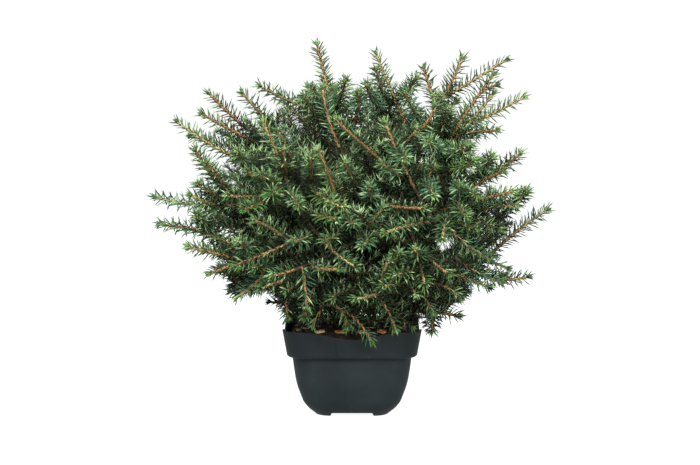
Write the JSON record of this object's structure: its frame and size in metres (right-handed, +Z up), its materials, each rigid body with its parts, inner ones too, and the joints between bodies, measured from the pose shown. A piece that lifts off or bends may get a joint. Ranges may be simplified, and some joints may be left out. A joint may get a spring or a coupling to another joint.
{
  "type": "potted dwarf serbian spruce",
  "caption": "Dense, wide dwarf spruce in a square dark plastic nursery pot: a short trunk, arching boughs and sprays of short needles, standing on the pot's feet.",
  "frame": {"origin": "on the ground below the middle of the pot, at the bottom centre of the whole plant's box", "axes": "+Z up along the plant, -Y towards the front of the picture, +X to the right of the picture"},
  "size_m": [0.5106, 0.4797, 0.4719],
  "materials": {
    "pot_plastic": "satin moulded plastic, dark grey",
    "soil": "moist peat, dark brown",
    "bark_chip": "dry bark mulch, tan",
    "bark": "young bark, orange brown",
    "needles": "short needles, dark blue-green above"
  },
  "bodies": {
    "root": {"pot": "pot_plastic", "soil": "soil", "bark_chip_01": "bark_chip", "bark_chip_02": "bark_chip", "bark_chip_03": "bark_chip", "bark_chip_04": "bark_chip", "trunk": "bark", "bough_01": "bark", "bough_02": "bark", "bough_03": "bark", "bough_04": "bark", "bough_05": "bark", "bough_06": "bark", "bough_07": "bark", "bough_08": "bark", "bough_09": "bark", "bough_10": "bark", "bough_11": "bark", "bough_12": "bark", "bough_13": "bark", "bough_14": "bark", "bough_15": "bark", "bough_16": "bark", "bough_17": "bark", "bough_18": "bark", "bough_19": "bark", "bough_20": "bark", "bough_21": "bark", "bough_22": "bark", "bough_23": "bark", "bough_24": "bark", "foliage_01": "needles", "foliage_02": "needles", "foliage_03": "needles", "foliage_04": "needles", "foliage_05": "needles", "foliage_06": "needles", "foliage_07": "needles", "foliage_08": "needles", "foliage_09": "needles", "foliage_10": "needles", "foliage_11": "needles", "foliage_12": "needles", "foliage_13": "needles", "foliage_14": "needles", "foliage_15": "needles", "foliage_16": "needles", "foliage_17": "needles", "foliage_18": "needles", "foliage_19": "needles", "foliage_20": "needles", "foliage_21": "needles", "foliage_22": "needles", "foliage_23": "needles", "foliage_24": "needles", "foliage_leader": "needles"}
  },
  "joints": []
}
